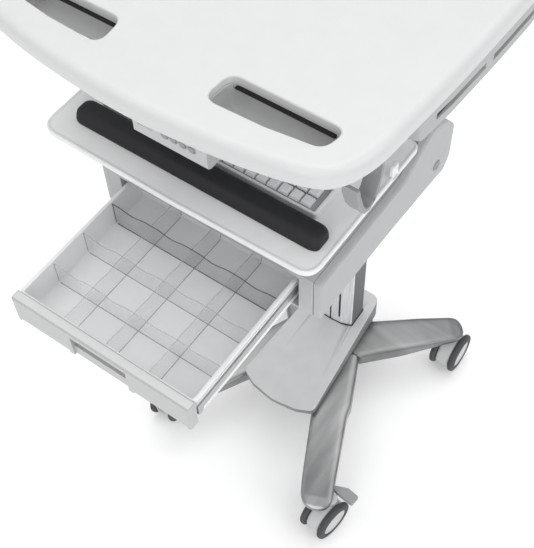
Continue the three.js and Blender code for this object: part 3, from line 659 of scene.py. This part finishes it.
# ------------------------------------------------------------------ housing
dress("drawer_housing", M["gray"], 1.2, 3)
panel_pts = round_poly([(221, RIM - 62, 6), (330, RIM - 60), (400, RIM - 61), (530, RIM - 70), (556, RIM - 74, 14),
                        (573, RIM - 50, 12), (573, RIM + 16, 12), (550, RIM + 44, 20), (508, RIM + 66, 22),
                        (470, RIM + 48, 14), (436, RIM + 23, 14), (300, RIM + 22), (221, RIM + 22, 8)], 8)
for tag, s in (("right", 1), ("left", -1)):
    pn = prism("side_cover_" + tag, panel_pts,
               [(0.6, 178), (0, 178.6), (0, 185.5), (0.5, 187.4), (1.6, 189.0), (3.2, 189.8), (4.6, 190.0)], M["cover"],
               to3=lambda u, v, w, s=s: P(s * w, u, v))
    place(pn, "side_panel_" + tag)
    cap = lathe("screw_cover_" + tag, [(0, -0.6), (8.9, -0.6), (9.0, 0.9), (8.5, 1.5), (7.4, 1.9), (6.2, 1.7), (5.2, 0.6), (0, 0.5)],
                P(s * 190.0, 528, RIM - 34), (s, 0, 0), M["mid"], 40)
    place(cap, "screw_cap_" + tag)

# ------------------------------------------------------------------ column and base
def col_outline(grow, seg=10):
    h, y0, y1 = COL_HALF + grow, COL_Y - COL_DEEP - grow, COL_Y + COL_DEEP + grow
    return round_poly([(-h, y0 + 9, 5), (-h * 0.55, y0 + 1.5, 20), (0, y0, 30), (h * 0.55, y0 + 1.5, 20), (h, y0 + 9, 5),
                       (h, y1, 5), (-h, y1, 5)], seg)


for node, name, off, z0, z1 in (("column_outer", "column_sleeve", 0, 129.2, 430), ("column_middle", "column_stage", 4.5, 305.5, 605),
                                ("column_inner", "column_core", 9, 483, 1150)):
    cs = prism(name, col_outline(-off), [(0, z0), (0, z1 - 0.8), (0.8, z1)], [M["column"], M["column_side"]], holes=[col_outline(-off - 4)],
               hole_prof=[(0, z0), (0, z1 - 0.5), (0.5, z1)], angle=25)
    # faces pointing along x take the dark copy: painted shade on the column's sides
    for f_ in cs.data.polygons:
        if abs(f_.normal.x) > 0.8:
            f_.material_index = 1
    place(cs, node)
for i, (x, a, b) in enumerate(((-20, 150, 404), (20, 190, 404), (0, 150, 404))):
    sl = rbox("column_slot_%d" % (i + 1), x - 1.6, x + 1.6, COL_Y - COL_DEEP - 0.25, COL_Y - COL_DEEP + 3.2, a, b, 0.3, M["black"])
    detail(sl, "base")
collar = prism("column_wiper", col_outline(0.2), [(0, 424), (-0.9, 424.6), (-0.9, 429.6), (0, 430.6), (1.2, 430.9)], M["black"],
               holes=[col_outline(-4.3)], hole_prof=[(0, 424), (0, 430.9)])
detail(collar, "base")

cover_pts = round_poly([(-84, 372, 16), (-50, 357, 30), (0, 350, 60), (50, 357, 30), (84, 372, 16), (60, 652, 22), (-60, 652, 22)], 10)


def cover_z(x, y):
    pts = ((340, 138), (360, 142), (480, 157.5), (600, 171.5), (660, 176))
    for (ya, za), (yb, zb) in zip(pts, pts[1:]):
        if y <= yb:
            return za + (zb - za) * (y - ya) / (yb - ya)
    return pts[-1][1]


def grid_cover(name, pts, zb, ztop, r, mats, step=7.0):
    """Rounded shell with a sloping top, on a grid so that the top shades evenly."""
    prof = []
    for k in range(8):
        a = math.pi / 2 * k / 7
        prof.append((r * (1 - math.cos(a)), r * (1 - math.sin(a))))
    bm = bmesh.new()
    if area(pts) < 0:
        pts = pts[::-1]
    rings = [[bm.verts.new(P(x, y, zb)) for x, y in pts]]
    for d, dz in prof:
        rings.append([bm.verts.new(P(x, y, ztop(x, y) - dz)) for x, y in inset(pts, d)])
    cy = sum(p[1] for p in pts) / len(pts)
    last = inset(pts, r)
    for f in (0.8, 0.55, 0.3, 0.1):
        rings.append([bm.verts.new(P(x * f, cy + (y - cy) * f, ztop(0, cy + (y - cy) * f))) for x, y in last])
    for a, b in zip(rings, rings[1:]):
        n = len(a)
        for i in range(n):
            j = (i + 1) % n
            bm.faces.new((a[i], a[j], b[j], b[i]))
    bm.faces.new(rings[0])
    bm.faces.new(rings[-1])
    return finish_obj(bm, name, mats, 50)


shroud = grid_cover("base_shroud", cover_pts, 129.3, cover_z, 2.6, [M["light"], M["shroud_side"]])
plug = prism("column_plug", col_outline(-2.2), [(0, 120), (0, 190)], M["light"])
hole = shroud.modifiers.new("column_hole", "BOOLEAN")
hole.object = plug
hole.operation = "DIFFERENCE"
hole.solver = "EXACT"
bpy.context.view_layer.update()
opened = bpy.data.meshes.new_from_object(shroud.evaluated_get(bpy.context.evaluated_depsgraph_get()))
shroud.modifiers.clear()
shroud.data = opened
opened.set_sharp_from_angle(angle=math.radians(50))
bpy.data.objects.remove(plug, do_unlink=True)
# steep faces take the darker copy: painted shade on the shroud's sides
for f_ in shroud.data.polygons:
    if abs(f_.normal.z) < 0.35:
        f_.material_index = 1
place(shroud, "base_cover")
dress("base_hub", M["hub"], 1.5, 2)
seal = prism("column_seal", col_outline(1.5), [(0, lambda x, y: cover_z(x, y) - 0.6), (0, lambda x, y: cover_z(x, y) + 0.9),
                                                (0.5, lambda x, y: cover_z(x, y) + 1.5)], M["rubber"],
             holes=[col_outline(0.3)], hole_prof=[(0, lambda x, y: cover_z(x, y) - 0.6), (0, lambda x, y: cover_z(x, y) + 1.5)])
place(seal, "column_gasket")


def cut_root(o, y, sign):
    """Ends a leg's root at the plane y (mm), keeping the side away from sign."""
    bm = bmesh.new()
    bm.from_mesh(o.data)
    geom = bm.verts[:] + bm.edges[:] + bm.faces[:]
    res = bmesh.ops.bisect_plane(bm, geom=geom, plane_co=P(0, y, 0), plane_no=(0, sign, 0), clear_outer=True)
    edges = [e for e in res["geom_cut"] if isinstance(e, bmesh.types.BMEdge)]
    bmesh.ops.contextual_create(bm, geom=edges)
    bmesh.ops.recalc_face_normals(bm, faces=bm.faces)
    bm.to_mesh(o.data)
    bm.free()


def leg(name, stem, d, left, right, length, zt_prof, zb_prof, s, R, mat):
    """Swept casting from the round caster pad to the hub; left/right/zt/zb are (s, value) tables."""
    dv = Vector(d).normalized()
    nv = Vector((-dv.y, dv.x)) * -1

    def tab(t, x):
        for (xa, va), (xb, vb) in zip(t, t[1:]):
            if x <= xb:
                k = max(0.0, (x - xa) / (xb - xa))
                k = k * k * (3 - 2 * k) if False else k
                return va + (vb - va) * k
        return t[-1][1]
    stations = []
    for k in range(14):
        a = math.pi / 2 * k / 13
        stations.append((-R * math.cos(a) * 0.999, math.sin(a) ** 0.7 if k else 0.06))
    m = 34
    for k in range(1, m + 1):
        stations.append((length * k / m, 1.0))
    rings = []
    N = 40
    for st, wf in stations:
        L, Rr = tab(left, st) * wf, tab(right, st) * wf
        zt_, zb_ = tab(zt_prof, st), tab(zb_prof, st)
        zc, hz = (zt_ + zb_) / 2, (zt_ - zb_) / 2
        ring = []
        for i in range(N):
            a = 2 * math.pi * i / N
            ca, sa = math.cos(a), math.sin(a)
            ex = 0.34 if sa > 0 else 0.2
            u = math.copysign(abs(ca) ** ex, ca)
            v = math.copysign(abs(sa) ** (0.42 if sa > 0 else 0.25), sa)
            t = u * (Rr if u > 0 else L)
            x = stem[0] - dv.x * st + nv.x * t
            y = stem[1] - dv.y * st + nv.y * t
            ring.append(P(s * x, y, zc + v * hz))
        rings.append(ring)
    return skin(name, rings, mat, angle=70, weighted=False)


FR_T = [(-29, 112.5), (-23, 117), (-8, 121.5), (40, 124.6), (190, 127), (320, 127)]
FR_B = [(-27, 104.5), (62, 104.5), (200, 95.2), (320, 95.2)]
RR_T = [(-27, 113), (-20, 118), (0, 122.5), (60, 126.2), (150, 127), (260, 127)]
RR_B = [(-27, 104.5), (60, 104.5), (110, 95.2), (260, 95.2)]
for tag, s in (("right", 1), ("left", -1)):
    lf = leg("leg_casting_front_" + tag, (180.0, 244.0), (0.4215, -0.9069),
             [(-29, 29), (0, 29.5), (169, 32.6), (191, 38), (300, 38)], [(-29, 29), (6, 33), (24, 34.5), (196, 40), (299, 41), (300, 41)],
             324, FR_T, FR_B, s, 29.0, M["cast"])
    cut_root(lf, 534.6, 1)
    place(lf, "leg_front_" + tag)
    # the rear castings take the darker copy: painted shade
    lr = leg("leg_casting_rear_" + tag, (203.0, 702.0), (0.685, 0.728),
             [(-27, 27), (0, 27), (148, 50), (220, 56)], [(-27, 27), (0, 27), (58, 32), (196, 31.7), (220, 31.7)],
             228, RR_T, RR_B, s, 27.0, M["rear_leg_shade_metal"])
    cut_root(lr, 535.6, -1)
    place(lr, "leg_rear_" + tag)

# ------------------------------------------------------------------ casters
for key, (stem, d) in CASTERS.items():
    dv = Vector((d[0], d[1], 0)).normalized()
    ax = Vector((-dv.y, dv.x, 0))
    c = P(stem[0] + dv.x * 15, stem[1] + dv.y * 15, 50)
    tyre = [(30, -6.5), (36, -6.5), (38.6, -6.2), (40.8, -5.2), (42.2, -3.8), (42.9, -1.8), (43, -0.7), (42.5, -0.4), (42.5, 0.4),
            (43, 0.7), (42.9, 1.8), (42.2, 3.8), (40.8, 5.2), (38.6, 6.2), (36, 6.5), (30, 6.5)]
    for side_, sg in (("a", 1), ("b", -1)):
        t = lathe("tread_%s_%s" % (key, side_), tyre, c + ax * (0.0215 * sg), ax, M["tyre"], 72)
        place(t, "caster_%s_tyre_%s" % (key, side_))
    half = [(5.8, 14.8), (29.6, 15.2), (29.8, 25.4), (29.2, 26.4), (28.0, 26.8), (26.6, 26.2), (25.6, 25.2), (12.5, 26.8),
            (11.2, 27.4), (9.5, 28.4), (7.5, 29), (0, 29)]
    hubp = [(r_, -h_) for r_, h_ in half[::-1]] + half
    h = lathe("wheel_disc_" + key, hubp, c, ax, M["disc"], 64)
    place(h, "caster_%s_wheel_hub" % key)
    prof = [(6.4, -14.4), (33.5, -14.4), (36.2, -13.4), (37.6, -11.2), (38, -8), (38, 8), (37.6, 11.2), (36.2, 13.4), (33.5, 14.4), (6.4, 14.4)]
    hood = lathe("hood_" + key, prof, c, ax, M["light"], 64)
    hood = cut_low(hood, c, 0.040 - FLOOR_Z / 1000.0)
    place(hood, "caster_%s_hood" % key)
    neck = lathe("caster_neck_" + key, [(0, 74), (14.2, 74), (14.2, 100.6), (13.4, 103.0), (12.2, 103.7), (0, 103.7)], P(stem[0], stem[1], 0), (0, 0, 1), M["light"], 40)
    detail(neck, "swivel_" + key)
    if key.startswith("front"):
        dress("caster_%s_brake_pedal" % key, M["mid"], 1.2, 3)

# ------------------------------------------------------------------ studio
me = bpy.data.meshes.new("floor")
bm = bmesh.new()
bmesh.ops.create_grid(bm, x_segments=2, y_segments=2, size=9)
bm.to_mesh(me)
bm.free()
floor = bpy.data.objects.new("floor", me)
bpy.context.scene.collection.objects.link(floor)
fmat = material("floor_paper", (0.93, 0.93, 0.93), 0.9, var=0.004, bump=0.01, bscale=50, spec=0.1, emit=0.14)
me.materials.append(fmat)

world = bpy.data.worlds.new("studio")
bpy.context.scene.world = world
world.use_nodes = True
wn = world.node_tree.nodes
bg = wn["Background"]
bg.inputs["Color"].default_value = (0.99, 0.995, 1.0, 1)
wl = world.node_tree.links
wtc = wn.new("ShaderNodeTexCoord")
wmp = wn.new("ShaderNodeMapping")
wmp.inputs["Scale"].default_value = (1.0, 1.0, 2.2)
wno = wn.new("ShaderNodeTexNoise")
wno.inputs["Scale"].default_value = 2.6
wno.inputs["Detail"].default_value = 1.5
wmr = wn.new("ShaderNodeMapRange")
wmr.inputs["From Min"].default_value = 0.38
wmr.inputs["From Max"].default_value = 0.62
wmr.inputs["To Min"].default_value = 0.5
wmr.inputs["To Max"].default_value = 1.4
wl.new(wtc.outputs["Generated"], wmp.inputs["Vector"])
wl.new(wmp.outputs["Vector"], wno.inputs["Vector"])
wl.new(wno.outputs["Fac"], wmr.inputs["Value"])
wsp = wn.new("ShaderNodeSeparateXYZ")
wgr = wn.new("ShaderNodeMapRange")
wgr.inputs["From Min"].default_value = 0.05
wgr.inputs["From Max"].default_value = 0.85
wgr.inputs["To Min"].default_value = 0.3
wgr.inputs["To Max"].default_value = 1.05
wmu = wn.new("ShaderNodeMath")
wmu.operation = "MULTIPLY"
wl.new(wtc.outputs["Generated"], wsp.inputs["Vector"])
wl.new(wsp.outputs["Z"], wgr.inputs["Value"])
wl.new(wmr.outputs["Result"], wmu.inputs[0])
wl.new(wgr.outputs["Result"], wmu.inputs[1])
wl.new(wmu.outputs["Value"], bg.inputs["Strength"])


def area_light(name, loc, target, size, energy, color=(1, 1, 1), size_y=None):
    li = bpy.data.lights.new(name, "AREA")
    li.energy = energy
    li.color = color
    li.shape = "RECTANGLE"
    li.size = size
    li.size_y = size_y or size
    o = bpy.data.objects.new(name, li)
    o.location = loc
    o.rotation_euler = (Vector(target) - Vector(loc)).to_track_quat("-Z", "Y").to_euler()
    bpy.context.scene.collection.objects.link(o)
    return o


area_light("key_light", (-0.3, 0.5, 3.8), (0, 0, 0.8), 2.6, 30, (1.0, 0.995, 0.98))
area_light("front_light", (0.9, -2.9, 1.95), (0.0, -0.1, 0.9), 1.5, 20, (1.0, 1.0, 1.0))
area_light("fill_light", (2.8, 0.2, 2.4), (0, 0, 0.6), 1.6, 16, (0.99, 0.995, 1.0))
area_light("strip_light", (1.8, -2.4, 1.1), (0, 0, 0.4), 0.5, 3, (1, 1, 1), 2.4)

# ------------------------------------------------------------------ camera
cam = bpy.data.cameras.new("camera")
co = bpy.data.objects.new("camera", cam)
bpy.context.scene.collection.objects.link(co)
yaw, pitch, roll = math.radians(37.559), math.radians(55.547), math.radians(-2.648)
back = Vector((math.sin(yaw) * math.cos(pitch), -math.cos(yaw) * math.cos(pitch), math.sin(pitch)))
fwd = -back
r0 = fwd.cross(Vector((0, 0, 1))).normalized()
u0 = r0.cross(fwd)
right = r0 * math.cos(roll) + u0 * math.sin(roll)
up = -r0 * math.sin(roll) + u0 * math.cos(roll)
mw = Matrix((right, up, back)).transposed().to_4x4()
mw.translation = Vector((0.6086, -0.8038, 2.0204))
co.matrix_world = mw
cam.sensor_fit = "HORIZONTAL"
cam.sensor_width = 36.0
cam.lens = 1073.9 / 534 * 36
cam.shift_x = 0.0
cam.shift_y = 0.0
cam.clip_start = 0.05
cam.clip_end = 50
bpy.context.scene.camera = co
bpy.context.scene.view_settings.view_transform = "Standard"
bpy.context.scene.view_settings.look = "None"
